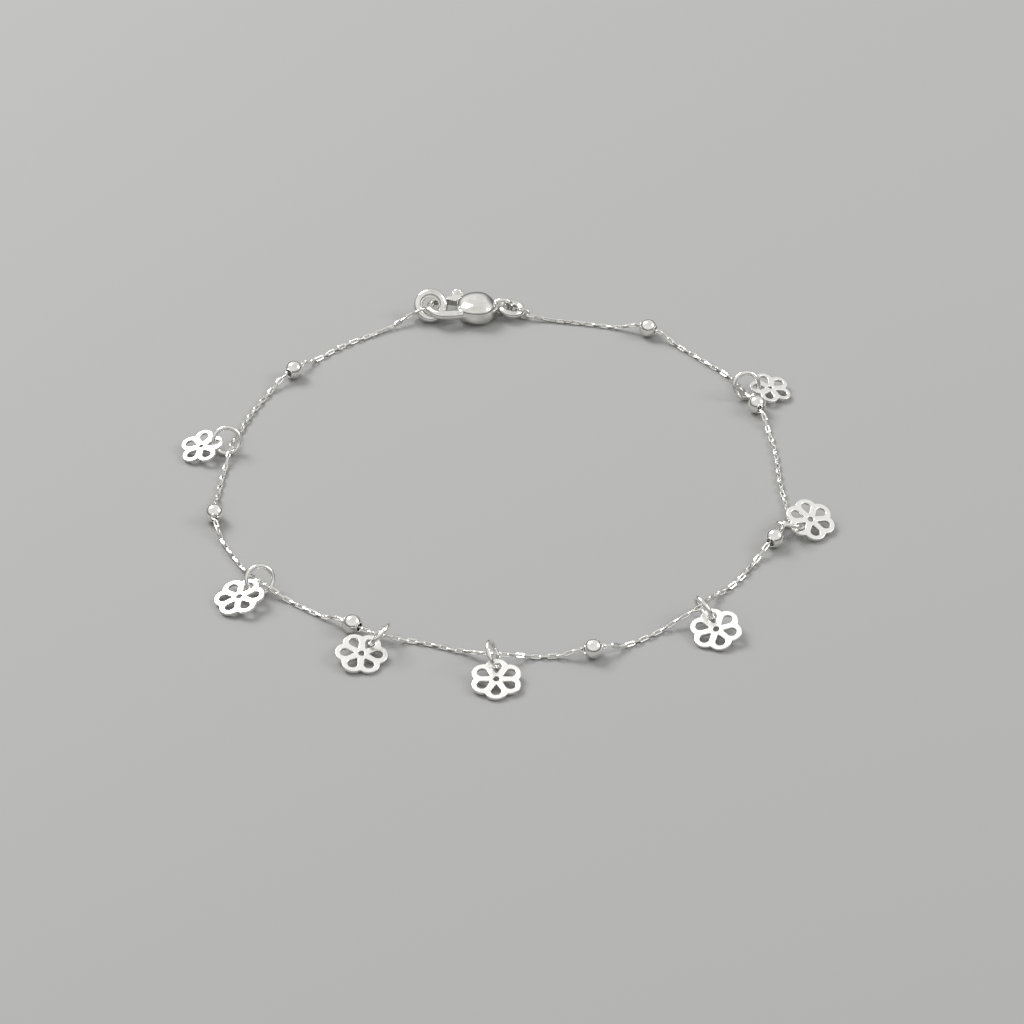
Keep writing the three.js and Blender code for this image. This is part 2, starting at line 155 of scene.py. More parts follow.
def lay(name, shape, metal, body, slot, *nodes):
    """Lays a shape drawn in millimetres in the frame as a piece that stands for its CAD nodes."""
    bmesh.ops.scale(shape, vec=(MM, MM, MM), verts=shape.verts)
    for face in shape.faces:
        face.smooth = True
    for edge in shape.edges:
        edge.smooth = edge.calc_face_angle(0) < SHARP
    mesh = bpy.data.meshes.new(name)
    shape.to_mesh(mesh)
    shape.free()
    mesh.materials.append(metal)
    piece = bpy.data.objects.new(name, mesh)
    bpy.context.collection.objects.link(piece)
    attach(piece, body)
    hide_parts(*nodes)
    return piece


def rounded(points, steps):
    """A smooth line through the points, with `steps` pieces between neighbours."""
    ends = [2 * points[0] - points[1], *points, 2 * points[-1] - points[-2]]
    line = []
    for a, b, c, d in zip(ends, ends[1:], ends[2:], ends[3:]):
        ab, bc, cd = (math.sqrt((q - p).length) for p, q in ((a, b), (b, c), (c, d)))
        leave = bc * ((b - a) / ab - (c - a) / (ab + bc) + (c - b) / bc)
        reach = bc * ((c - b) / bc - (d - b) / (bc + cd) + (d - c) / cd)
        for i in range(steps):
            t = i / steps
            line.append(b + leave * t + (3 * (c - b) - 2 * leave - reach) * t ** 2
                        + (2 * (b - c) + leave + reach) * t ** 3)
    return line + [points[-1]]


def lengths(line):
    """How far along the line each of its points is."""
    run = [0.0]
    for a, b in zip(line, line[1:]):
        run.append(run[-1] + (b - a).length)
    return run


def at_length(line, run, along):
    """The point of a line at a length along it, and the line's direction there."""
    i = min(max(bisect.bisect_right(run, along), 1), len(line) - 1)
    share = (along - run[i - 1]) / (run[i] - run[i - 1])
    return line[i - 1].lerp(line[i], share), (line[i] - line[i - 1]).normalized()


def upright(axis, at):
    """A frame whose Z is the axis and whose X is level."""
    x = Vector((0, 0, 1)).cross(axis).normalized()
    turn = Matrix((x, axis.cross(x), axis)).transposed().to_4x4()
    return Matrix.Translation(at) @ turn


def frame_along(ahead, side, at):
    """A frame whose X points ahead and whose Y lies in the plane of ahead and side."""
    y = (side - ahead * side.dot(ahead)).normalized()
    turn = Matrix((ahead, y, ahead.cross(y))).transposed().to_4x4()
    return Matrix.Translation(at) @ turn


def wire_link(wire, sides, straight, bend, steps):
    """A link of round wire, flat in XY and long along X, with two straight sides."""
    shape = bmesh.new()
    stand = Matrix.Translation((straight, -bend, 0)) @ Matrix.Rotation(math.pi / 2, 4, "Y")
    bmesh.ops.create_circle(shape, segments=sides, radius=wire, matrix=stand)
    rim = shape.edges[:]
    for side in (1, -1):
        made = bmesh.ops.spin(shape, geom=rim, cent=(side * straight, 0, 0), axis=(0, 0, 1),
                              angle=math.pi, steps=steps)
        rim = [e for e in made["geom_last"] if isinstance(e, bmesh.types.BMEdge)]
        made = bmesh.ops.extrude_edge_only(shape, edges=rim)
        rim = [e for e in made["geom"] if isinstance(e, bmesh.types.BMEdge)]
        ends = [v for v in made["geom"] if isinstance(v, bmesh.types.BMVert)]
        bmesh.ops.translate(shape, vec=(-2 * side * straight, 0, 0), verts=ends)
    bmesh.ops.remove_doubles(shape, verts=shape.verts, dist=1e-4)
    bmesh.ops.recalc_face_normals(shape, faces=shape.faces)
    mesh = bpy.data.meshes.new("wire_link")
    shape.to_mesh(mesh)
    shape.free()
    return mesh


def put(shape, mesh, place):
    """Adds a copy of a mesh to the shape, laid at a place."""
    known = len(shape.verts)
    shape.from_mesh(mesh)
    shape.verts.ensure_lookup_table()
    bmesh.ops.transform(shape, matrix=place, verts=shape.verts[known:])


def direction(azimuth, elevation):
    """The way that points at an azimuth in plan, raised by an elevation, in degrees."""
    a, e = math.radians(azimuth), math.radians(elevation)
    return Vector((math.cos(e) * math.cos(a), math.cos(e) * math.sin(a), math.sin(e)))


# The drawing's own origin, set against the frame by the end ring
ring_low, ring_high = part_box("end_ring")
ring_middle = (Vector(ring_low) + Vector(ring_high)) / 2 / MM
SHIFT = Vector((ring_middle.x - END_RING["at"][0], ring_middle.y - END_RING["at"][1], 0))

end_height = END_RING["radius"] * math.cos(math.radians(END_RING["lean"]))
end_height += END_RING["wire"] + REST_GAP
end_place = upright(direction(-90, END_RING["lean"]),
                    Vector((*END_RING["at"], end_height)) + SHIFT)
clasp_place = upright(direction(0, CLASP_RING["lean"]), Vector(CLASP_RING["at"]) + SHIFT)

plan = rounded([Vector((*p, 0)) + SHIFT for p in ROUTE], ROUTE_STEPS)
plan_run = lengths(plan)


def chain_point(along):
    """The chain's middle: on the floor, over each jump ring and through each bead."""
    height = CHAIN_FLOOR
    for bead in BEADS_ALONG:
        past = max(abs(along - bead) - BEAD_FLAT, 0) / BEAD_FALL
        height = max(height, CHAIN_FLOOR + (BEAD_RADIUS - CHAIN_FLOOR) * max(1 - past, 0) ** 1.5)
    for charm, over in CHARMS_ALONG:
        height = max(height, over - CHARM_SLOPE * max(abs(along - charm) - CHARM_FLAT, 0))
    point = at_length(plan, plan_run, along)[0].copy()
    point.z = height
    return point


def end_link(ring, place, towards):
    """The oval link round a ring's wire: its place, its half width, and the chain's first point."""
    turn = math.radians(ring["hold"])
    hold = place @ (ring["radius"] * Vector((math.cos(turn), math.sin(turn), 0)))
    along = place.to_3x3() @ Vector((-math.sin(turn), math.cos(turn), 0))
    out = towards - hold
    out = (out - along * out.dot(along)).normalized()
    half = ring["wire"] + END_LINK_GAP + END_LINK_WIRE
    middle = hold + out * (END_LINK_HALF - half)
    return frame_along(out, along.cross(out), middle), half, middle + out * END_LINK_HALF, along


chain_shape = bmesh.new()
start_place, start_half, start_tip, start_side = end_link(END_RING, end_place, chain_point(0))
finish_place, finish_half, finish_tip, finish_side = end_link(
    CLASP_RING, clasp_place, chain_point(plan_run[-1]))
for place, half in ((start_place, start_half), (finish_place, finish_half)):
    put(chain_shape, wire_link(END_LINK_WIRE, END_LINK_SIDES, END_LINK_HALF - half, half,
                               END_LINK_STEPS), place)

stations = round(plan_run[-1] / STATION)
chain_line = rounded([
    start_tip,
    *[chain_point(plan_run[-1] * i / stations) for i in range(stations + 1)],
    finish_tip,
], CHAIN_STEPS)
chain_run = lengths(chain_line)
# How far past the end link's tip the first link's middle lies
hold_back = END_LINK_WIRE + LINK_WIRE - (LINK_STRAIGHT + LINK_BEND)
links = round((chain_run[-1] + 2 * hold_back) / LINK_PITCH)
pitch = (chain_run[-1] + 2 * hold_back) / links
link_mesh = wire_link(LINK_WIRE, LINK_SIDES, LINK_STRAIGHT, LINK_BEND, LINK_BEND_STEPS)
wobble = random.Random(7)
up = Vector((0, 0, 1))
for i in range(links + 1):
    at, ahead = at_length(chain_line, chain_run, i * pitch - hold_back)
    level = up.cross(ahead).normalized()
    above = ahead.cross(level)
    near, held = min((i, start_side), (links - i, finish_side), key=lambda end: end[0])
    held_roll = math.atan2(held.dot(above), held.dot(level))
    if held is finish_side:
        held_roll += math.pi / 2 * ((links - i) % 2) - math.pi / 2 * (i % 2)
    rest = LINK_REST + wobble.uniform(-LINK_WOBBLE, LINK_WOBBLE)
    share = min(near / SETTLE, 1)
    nearest = held_roll + math.pi * round((rest - held_roll) / math.pi)
    roll = nearest + (rest - nearest) * share + math.pi / 2 * (i % 2)
    side = level * math.cos(roll) + above * math.sin(roll)
    at.z = max(at.z, LINK_WIRE + LINK_BEND * abs(side.z) + LINK_STRAIGHT * abs(ahead.z))
    put(chain_shape, link_mesh, frame_along(ahead, side, at))

# Drawn and tumbled wire: bright, with faint drawing marks and a little soft haze.
chain_silver = sterling("sterling_silver_drawn_wire", "#F4F3EF", "#D9D7D0", (0.13, 0.3),
                        0.12, 0.004, 2.5)
lay("cable_chain", chain_shape, chain_silver, "anklet", "silver_chain", "chain")

# ---------------------------------------------------------------------------------------------
# Ball beads
# Seven hollow balls pressed in two halves from silver sheet, soldered at the waist and polished.
# Each is drilled through and turned in to a small collar at both ends, and rides on the chain.
# ---------------------------------------------------------------------------------------------
BEAD_BORE = 0.52
COLLAR_RADIUS = 0.7
COLLAR_HEIGHT = 0.1
COLLAR_STEPS = 6
BEAD_STEPS = 28
BEAD_TURN_STEPS = 56


def arc(shape, start, middle, axis, angle, steps):
    """Draws an arc of edges from a vertex round a middle, and returns its far end."""
    made = bmesh.ops.spin(shape, geom=[start], cent=middle, axis=axis, angle=angle, steps=steps)
    return [v for v in made["geom_last"] if isinstance(v, bmesh.types.BMVert)][0]


def line_to(shape, start, at):
    """Draws an edge from a vertex to a point, and returns its far end."""
    end = shape.verts.new(at)
    shape.edges.new((start, end))
    return end


def lie(node):
    """A CAD node's middle in millimetres, its own three directions, thinnest first, and its
    points."""
    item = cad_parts[node]
    points = {tuple(round(c / MM, 4) for c in item.matrix_world @ v.co) for v in item.data.vertices}
    points = numpy.array(sorted(points))
    middle = points.mean(axis=0)
    spread, ways = numpy.linalg.eigh(numpy.cov((points - middle).T))
    return Vector(middle), [Vector(ways[:, i]) for i in range(3)], points


def turned(profile, steps):
    """Turns a profile drawn in XZ round Z into a closed shape."""
    bmesh.ops.spin(profile, geom=profile.verts[:] + profile.edges[:], cent=(0, 0, 0),
                   axis=(0, 0, 1), angle=2 * math.pi, steps=steps, use_merge=True)
    bmesh.ops.remove_doubles(profile, verts=profile.verts, dist=1e-4)
    bmesh.ops.recalc_face_normals(profile, faces=profile.faces)
    return profile


def bead_shape():
    """A ball with a bore along Z and a rolled collar at each end of it."""
    shape = bmesh.new()
    level = math.sqrt(BEAD_RADIUS ** 2 - COLLAR_RADIUS ** 2)
    roll = (COLLAR_RADIUS - BEAD_BORE) / 2
    rolled = level + COLLAR_HEIGHT - roll
    opening = 2 * math.asin(COLLAR_RADIUS / BEAD_RADIUS)
    across = (0, 1, 0)
    first = shape.verts.new((BEAD_BORE, 0, -rolled))
    at = arc(shape, first, (BEAD_BORE + roll, 0, -rolled), across, -math.pi, COLLAR_STEPS)
    at = line_to(shape, at, (COLLAR_RADIUS, 0, -level))
    at = arc(shape, at, (0, 0, 0), across, opening - math.pi, BEAD_STEPS)
    at = line_to(shape, at, (COLLAR_RADIUS, 0, rolled))
    at = arc(shape, at, (BEAD_BORE + roll, 0, rolled), across, -math.pi, COLLAR_STEPS)
    shape.edges.new((at, first))
    return turned(shape, BEAD_TURN_STEPS)


# Polished hollow balls: the brightest finish of the piece, with hairline handling marks.
bead_silver = sterling("sterling_silver_polished_ball", "#F7F6F2", "#E3E1DB", (0.05, 0.13),
                       0.3, 0.0025, 1.6)
for i in range(len(BEADS_ALONG)):
    node = "bead_%d" % (i + 1)
    middle, ways, _ = lie(node)
    shape = bead_shape()
    bmesh.ops.transform(shape, matrix=upright(ways[2], middle), verts=shape.verts)
    lay("ball_" + node, shape, bead_silver, "anklet", "silver_bead", node)

# ---------------------------------------------------------------------------------------------
# Charm jump rings
# Round rings of heavier drawn wire, cut from a coil and closed butt to butt. Each passes through
# a petal of its flower and round the chain.
# ---------------------------------------------------------------------------------------------
JUMP_RADIUS = 1.75
JUMP_WIRE = 0.3
JUMP_SIDES = 14
JUMP_STEPS = 60
JUMP_CUT = math.radians(1.6)
JUMP_CUT_AT = math.radians(200)  # where the first ring's cut lies, and how far each next one turns
JUMP_CUT_TURN = math.radians(47)


def wire_ring(radius, wire, sides, steps, cut, place):
    """A ring of round wire about Z, its two ends butted together with a fine cut between."""
    shape = bmesh.new()
    stand = Matrix.Rotation(cut / 2, 4, "Z") @ Matrix.Translation((radius, 0, 0))
    stand = stand @ Matrix.Rotation(math.pi / 2, 4, "X")
    bmesh.ops.create_circle(shape, segments=sides, radius=wire, matrix=stand)
    bmesh.ops.spin(shape, geom=shape.edges[:], cent=(0, 0, 0), axis=(0, 0, 1),
                   angle=2 * math.pi - cut, steps=steps, use_merge=cut == 0)
    if cut:
        bmesh.ops.holes_fill(shape, edges=[e for e in shape.edges if e.is_boundary])
    bmesh.ops.remove_doubles(shape, verts=shape.verts, dist=1e-4)
    bmesh.ops.recalc_face_normals(shape, faces=shape.faces)
    bmesh.ops.transform(shape, matrix=place, verts=shape.verts)
    return shape


# Drawn wire, polished: bright, with a little soft haze in cloudy patches.
ring_silver = sterling("sterling_silver_polished_wire", "#F5F4F0", "#DEDCD6", (0.08, 0.2),
                       0.22, 0.003, 1.8)
for i in range(len(CHARMS_ALONG)):
    node = "charm_ring_%d" % (i + 1)
    middle, ways, _ = lie(node)
    facing = ways[0] if ways[0].z > 0 else -ways[0]
    place = upright(facing, middle) @ Matrix.Rotation(JUMP_CUT_AT + JUMP_CUT_TURN * i, 4, "Z")
    lay("jump_ring_%d" % (i + 1),
        wire_ring(JUMP_RADIUS, JUMP_WIRE, JUMP_SIDES, JUMP_STEPS, JUMP_CUT, place),
        ring_silver, "anklet", "silver_ring", node)

# ---------------------------------------------------------------------------------------------
# Flower charms
# Flat flowers pierced and cut from 0.45 mm sterling sheet, edges rounded in the tumbler. The
# first and last have five petals and the others six, each with a drop-shaped hole and a round eye.
# ---------------------------------------------------------------------------------------------
SHEET = 0.45
EDGE_ROUND = 0.13
EDGE_STEPS = 3
EYE_STEPS = 6
PETAL_STEPS = 14
DROP_STEPS = 12
TIP_STEPS = 3
RIM_TURN = math.radians(60)  # edges sharper than this are the sheet's cut rims
TIPS_FROM = 0.85  # the outer share of a flower's reach that shows how its petals are turned
SIX = dict(petals=6, out=1.78, petal=1.5, near=1.06, far=2.03, tip=0.1, drop=0.62, eye=0.385)
FIVE = dict(petals=5, out=1.7, petal=1.26, near=0.93, far=1.83, tip=0.1, drop=0.59, eye=0.28)


def flower(form):
    """A pierced flower in XY: half a petal is drawn, mirrored and turned round the eye."""
    shape = bmesh.new()
    up = (0, 0, 1)
    half = math.pi / form["petals"]
    across = form["out"] * math.sin(half)
    notch = form["out"] * math.cos(half) + math.sqrt(form["petal"] ** 2 - across ** 2)
    fork = Vector((notch * math.cos(half), notch * math.sin(half), 0))
    turn = math.atan2(fork.y, fork.x - form["out"])
    lean = math.acos((form["drop"] - form["tip"]) / (form["far"] - form["near"]))
    wide = math.pi - lean
    first = shape.verts.new((form["eye"], 0, 0))
    at = arc(shape, first, (0, 0, 0), up, half, EYE_STEPS)
    at = line_to(shape, at, fork)
    at = arc(shape, at, (form["out"], 0, 0), up, -turn, PETAL_STEPS)
    at = line_to(shape, at, (form["far"] + form["drop"], 0, 0))
    at = arc(shape, at, (form["far"], 0, 0), up, wide, DROP_STEPS)
    at = line_to(shape, at, (form["near"] + form["tip"] * math.cos(wide),
                             form["tip"] * math.sin(wide), 0))
    at = arc(shape, at, (form["near"], 0, 0), up, lean, TIP_STEPS)
    shape.edges.new((at, first))
    bmesh.ops.contextual_create(shape, geom=shape.edges[:])
    bmesh.ops.mirror(shape, geom=shape.verts[:] + shape.edges[:] + shape.faces[:], axis="Y",
                     merge_dist=1e-4)
    bmesh.ops.spin(shape, geom=shape.verts[:] + shape.edges[:] + shape.faces[:],
                   cent=(0, 0, 0), axis=up, angle=2 * math.pi, steps=form["petals"],
                   use_duplicate=True)
    bmesh.ops.remove_doubles(shape, verts=shape.verts, dist=1e-4)
    # The spin leaves its first copy under its last one.
    seen = set()
    doubled = []
    for face in shape.faces:
        key = frozenset(v.index for v in face.verts)
        if key in seen:
            doubled.append(face)
        seen.add(key)
    bmesh.ops.delete(shape, geom=doubled, context="FACES_ONLY")
    bmesh.ops.translate(shape, vec=(0, 0, -SHEET / 2), verts=shape.verts)
    raised = bmesh.ops.extrude_face_region(shape, geom=shape.faces[:])
    bmesh.ops.translate(shape, vec=(0, 0, SHEET),
                        verts=[v for v in raised["geom"] if isinstance(v, bmesh.types.BMVert)])
    bmesh.ops.recalc_face_normals(shape, faces=shape.faces)
    rims = [e for e in shape.edges
            if len(e.link_faces) == 2 and e.calc_face_angle(0) > RIM_TURN]
    bmesh.ops.bevel(shape, geom=rims, offset=EDGE_ROUND, offset_type="OFFSET",
                    segments=EDGE_STEPS, profile=0.5, affect="EDGES", material=-1,
                    clamp_overlap=True)
    return shape


# Tumbled sheet: a white satin, brighter along the rounded edges, with fine tumbling marks.
charm_silver = sterling("sterling_silver_tumbled_sheet", "#FAF9F6", "#E9E7E2", (0.24, 0.4),
                        0.16, 0.006, 1.2)
for i in range(len(CHARMS_ALONG)):
    node = "charm_%d" % (i + 1)
    form = FIVE if i in (0, len(CHARMS_ALONG) - 1) else SIX
    middle, ways, points = lie(node)
    facing = ways[0] if ways[0].z > 0 else -ways[0]
    place = upright(facing, middle)
    inner = place.inverted()
    flat = [inner @ Vector(p) for p in points]
    reach = max(p.xy.length for p in flat)
    tips = [p.xy for p in flat if p.xy.length > TIPS_FROM * reach]
    turns = [form["petals"] * math.atan2(p.y, p.x) for p in tips]
    turn = math.atan2(sum(map(math.sin, turns)), sum(map(math.cos, turns)))
    shape = flower(form)
    bmesh.ops.transform(shape, matrix=place @ Matrix.Rotation(turn / form["petals"], 4, "Z"),
                        verts=shape.verts)
    piece = lay("flower_" + node, shape, charm_silver, "anklet", "silver_charm", node)
    weigh = piece.modifiers.new("even_faces", "WEIGHTED_NORMAL")
    weigh.mode = "FACE_AREA"
    weigh.keep_sharp = True

# ---------------------------------------------------------------------------------------------
# End ring and clasp ring
# Two thick rings of cast and polished silver, soldered shut. The end ring is what the clasp hooks,
# and the smaller one joins the clasp's eye to the chain.
# ---------------------------------------------------------------------------------------------
RING_SIDES = 28
RING_STEPS = 72

# Cast and polished: a smooth, slightly rippled mirror with fine wear.
cast_silver = sterling("sterling_silver_cast_polished", "#F4F3EF", "#DCDAD3", (0.07, 0.17),
                       0.45, 0.006, 2.2)
lay("thick_end_ring",
    wire_ring(END_RING["radius"], END_RING["wire"], RING_SIDES, RING_STEPS, 0, end_place),
    cast_silver, "anklet", "silver_ring", "end_ring")
lay("clasp_link_ring",
    wire_ring(CLASP_RING["radius"], CLASP_RING["wire"], RING_SIDES, RING_STEPS, 0, clasp_place),
    cast_silver, "anklet", "silver_ring", "clasp_ring")

# ---------------------------------------------------------------------------------------------
# Clasp body
# A lobster clasp cast in silver in one piece and polished: a plump lobe, a hook that curls round
# to the lever, and an eye at the tail. The lobe is sawn open for the lever, which turns on a
# rivet through its cheeks.
# ---------------------------------------------------------------------------------------------
CLASP_AT = (-0.06, 46.33, 1.38)
CLASP_YAW = 187.0
CLASP_PITCH = 2.7
EYE_AT = 1.35
EYE_RADIUS = 1.0
EYE_STRETCH = 1.2
EYE_WIRE = 0.35
EYE_SIDES = 24
EYE_TURN_STEPS = 48
LOBE = ((2.2, 0), (2.22, 0.9), (2.5, 1.5), (3.0, 2.1), (3.7, 2.6), (4.6, 2.8), (5.6, 2.72),
        (6.5, 2.4), (7.2, 1.9), (7.7, 1.15), (7.9, 0))
LOBE_FLATTENING = 0.6
LOBE_SQUARENESS = 3.0  # 2 is an ellipse across the lobe, and more is fuller at the shoulders
LOBE_ASIDE = 0.25
LOBE_STEPS = 6
LOBE_TURN_STEPS = 64
HOOK_WIRE = 0.56
HOOK_RADIUS = 1.85
HOOK_MIDDLE = 9.72
HOOK_ROOT = ((4.4, 0.7), (5.8, 1.25), (7.2, 1.72))
HOOK_FLARE = 0.3  # how much thicker the hook's wire is at its root, as a share
HOOK_SIDES = 32
HOOK_STEPS = 5
HOOK_BENDS = 12
MOUTH_FROM = 7.7
TIP_GAP = 0.08
PIVOT = (6.3, -1.3)
PIN = 0.3
PIN_HALF = 1.1
LEVER_REACH = 2.93
LEVER_THICK = 1.0
BOSS = 0.62
SLOT_SIDE_GAP = 0.1
SLOT_END_GAP = 0.15
SLOT_TOP = -0.35  # how deep the slot is sawn into the lobe
THROUGH = 5  # further than the clasp reaches, so a cut goes right through
CAST_GRAIN = 0.05  # millimetres between the points of the cast surface
BODY_POLISH = 24  # rounds of smoothing
FLAT_AT = 0.002  # height at which the body's underside is ground flat

clasp_frame = (Matrix.Translation(Vector(CLASP_AT) + SHIFT)
               @ Matrix.Rotation(math.radians(CLASP_YAW), 4, "Z")
               @ Matrix.Rotation(math.radians(-CLASP_PITCH), 4, "Y"))


POST_SIDES = 48


def block(x0, x1, y0, y1, z0, z1):
    """A box between two corners."""
    shape = bmesh.new()
    bmesh.ops.create_cube(shape, size=1)
    bmesh.ops.scale(shape, vec=(x1 - x0, y1 - y0, z1 - z0), verts=shape.verts)
    bmesh.ops.translate(shape, vec=((x0 + x1) / 2, (y0 + y1) / 2, (z0 + z1) / 2),
                        verts=shape.verts)
    return shape


def post(radius, half, x, y):
    """A round post along Z."""
    shape = bmesh.new()
    bmesh.ops.create_cone(shape, segments=POST_SIDES, radius1=radius, radius2=radius,
                          depth=2 * half, cap_ends=True, matrix=Matrix.Translation((x, y, 0)))
    return shape


def drawn(name, *shapes):
    """A working object that holds shapes side by side, still in millimetres."""
    mesh = bpy.data.meshes.new(name)
    whole = bmesh.new()
    for shape in shapes:
        part = bpy.data.meshes.new(name)
        shape.to_mesh(part)
        shape.free()
        whole.from_mesh(part)
        bpy.data.meshes.remove(part)
    whole.to_mesh(mesh)
    whole.free()
    work = bpy.data.objects.new(name, mesh)
    bpy.context.collection.objects.link(work)
    return work


def cast(name, grain, polish, shapes, cuts=(), pins=()):
    """Melts shapes into one skin, saws the cuts out of it, adds the pins, and rounds its edges."""
    work = drawn(name, *shapes)
    tools = []

    def melt():
        skin = work.modifiers.new("melt", "REMESH")
        skin.mode = "VOXEL"
        skin.voxel_size = grain

    melt()
    for kind, given in (("DIFFERENCE", cuts), ("UNION", pins)):
        for i, shape in enumerate(given):
            tool = drawn("%s_%s_%d" % (name, kind, i), shape)
            tools.append(tool)
            edit = work.modifiers.new(kind, "BOOLEAN")
            edit.operation = kind
            edit.solver = "EXACT"
            edit.object = tool
    melt()
    soft = work.modifiers.new("soften", "SMOOTH")
    soft.factor = 0.5
    soft.iterations = polish
    bpy.context.view_layer.update()
    ready = work.evaluated_get(bpy.context.evaluated_depsgraph_get())
    mesh = bpy.data.meshes.new_from_object(ready)
    shape = bmesh.new()
    shape.from_mesh(mesh)
    for tool in (work, *tools):
        bpy.data.objects.remove(tool)
    return shape


def swept(line, radii, sides):
    """A closed bar along a line in XY, round, with a radius for each point."""
    shape = bmesh.new()
    places = []
    for i, (at, radius) in enumerate(zip(line, radii)):
        ahead = (line[min(i + 1, len(line) - 1)] - line[max(i - 1, 0)]).normalized()
        side = Vector((0, 0, 1)).cross(ahead)
        turn = Matrix((side, Vector((0, 0, 1)), ahead)).transposed().to_4x4()
        places.append(Matrix.Translation(at) @ turn @ Matrix.Scale(radius, 4))
    bmesh.ops.create_circle(shape, cap_ends=True, segments=sides, radius=1, matrix=places[0])
    rim = shape.edges[:]
    for before, after in zip(places, places[1:]):
        made = bmesh.ops.extrude_edge_only(shape, edges=rim)
        rim = [e for e in made["geom"] if isinstance(e, bmesh.types.BMEdge)]
        ends = [v for v in made["geom"] if isinstance(v, bmesh.types.BMVert)]
        bmesh.ops.transform(shape, matrix=after @ before.inverted(), verts=ends)
    bmesh.ops.holes_fill(shape, edges=[e for e in shape.edges if e.is_boundary])
    bmesh.ops.recalc_face_normals(shape, faces=shape.faces)
    return shape


def lobe_shape():
    """The plump body, turned about X and pressed a little flat."""
    shape = bmesh.new()
    line = rounded([Vector((r, 0, x)) for x, r in LOBE], LOBE_STEPS)
    corners = [shape.verts.new(p) for p in line]
    for a, b in zip(corners, corners[1:]):
        shape.edges.new((a, b))
    turned(shape, LOBE_TURN_STEPS)
    bmesh.ops.rotate(shape, matrix=Matrix.Rotation(math.pi / 2, 3, "Y"), verts=shape.verts)
    for corner in shape.verts:
        radius = corner.co.yz.length or 1.0
        reach = sum(abs(c / radius) ** LOBE_SQUARENESS for c in corner.co.yz)
        corner.co.yz /= reach ** (1 / LOBE_SQUARENESS) or 1.0
    bmesh.ops.scale(shape, vec=(1, 1, LOBE_FLATTENING), verts=shape.verts)
    bmesh.ops.translate(shape, vec=(0, LOBE_ASIDE, 0), verts=shape.verts)
    return shape


def eye_shape():
    """The tail eye, a stretched ring whose hole runs along Y."""
    place = (Matrix.Translation((EYE_AT, 0, 0)) @ Matrix.Diagonal((EYE_STRETCH, 1, 1, 1))
             @ Matrix.Rotation(math.pi / 2, 4, "X"))
    return wire_ring(EYE_RADIUS, EYE_WIRE, EYE_SIDES, EYE_TURN_STEPS, 0, place)


hook_tip = PIVOT[0] + LEVER_REACH + TIP_GAP
turns = [math.pi * i / HOOK_BENDS for i in range(HOOK_BENDS + 1)]
bend = [Vector((HOOK_MIDDLE + HOOK_RADIUS * math.sin(a), HOOK_RADIUS * math.cos(a), 0))
        for a in turns]
hook_line = rounded([*[Vector((*p, 0)) for p in HOOK_ROOT], *bend,
                     Vector((hook_tip, -HOOK_RADIUS, 0))], HOOK_STEPS)
hook_flare = [HOOK_WIRE * (1 + HOOK_FLARE * max(1 - 3 * i / len(hook_line), 0))
              for i in range(len(hook_line))]
hook_shape = swept(hook_line, hook_flare, HOOK_SIDES)
slot_half = LEVER_THICK / 2 + SLOT_SIDE_GAP
mouth = HOOK_RADIUS - HOOK_WIRE
body_shape = cast(
    "clasp_body_work", CAST_GRAIN, BODY_POLISH, [lobe_shape(), eye_shape(), hook_shape],
    cuts=[post(mouth, THROUGH, MOUTH_FROM + mouth, 0),
          block(PIVOT[0] - BOSS - SLOT_END_GAP, hook_tip, -THROUGH, SLOT_TOP,
                -slot_half, slot_half)],
    pins=[post(PIN, PIN_HALF, *PIVOT)])
bmesh.ops.transform(body_shape, matrix=clasp_frame, verts=body_shape.verts)
bmesh.ops.bisect_plane(body_shape,
                       geom=body_shape.verts[:] + body_shape.edges[:] + body_shape.faces[:],
                       plane_co=(0, 0, FLAT_AT), plane_no=(0, 0, 1), clear_inner=True)
bmesh.ops.holes_fill(body_shape, edges=[e for e in body_shape.edges if e.is_boundary])
lay("lobster_body", body_shape, cast_silver, "anklet", "silver_clasp", "clasp_body")

# ---------------------------------------------------------------------------------------------
# Clasp lever
# The sprung trigger, cast and polished like the body. Its arm closes the mouth against the hook's
# tip, and a rounded thumb tab stands out at the back.
# ---------------------------------------------------------------------------------------------
LEVER_INNER = -1.5
LEVER_OUTER = -2.3
LEVER_EASE = 0.08  # polishing takes the arm's end back from the hook's tip
LEVER_GRAIN = 0.04
LEVER_POLISH = 10
PIN_GAP = 0.06
BOSS_LAP = 0.05  # the arm starts this far inside the boss
ARM_BACK = ((8.2, -2.35), (6.5, -1.95))
TAB = ((6.5, -1.75), (6.55, -3.3), (6.95, -3.75), (7.75, -3.75), (8.2, -3.3), (8.3, -2.0))
THUMB_AT = (7.35, -3.3)
THUMB_HALF = (0.84, 0.5, 0.95)
PAD_SIDES = 32
PAD_RINGS = 20


def plate(points, thick):
    """A flat plate in XY between two heights, its outline given."""
    shape = bmesh.new()
    corners = [shape.verts.new((x, y, -thick / 2)) for x, y in points]
    face = shape.faces.new(corners)
    raised = bmesh.ops.extrude_face_region(shape, geom=[face])
    bmesh.ops.translate(shape, vec=(0, 0, thick),
                        verts=[v for v in raised["geom"] if isinstance(v, bmesh.types.BMVert)])
    bmesh.ops.recalc_face_normals(shape, faces=shape.faces)
    return shape


def pad(at, half):
    """A rounded pad about a point in XY, its half sizes given."""
    shape = bmesh.new()
    bmesh.ops.create_uvsphere(shape, u_segments=PAD_SIDES, v_segments=PAD_RINGS, radius=1)
    bmesh.ops.scale(shape, vec=half, verts=shape.verts)
    bmesh.ops.translate(shape, vec=(*at, 0), verts=shape.verts)
    return shape


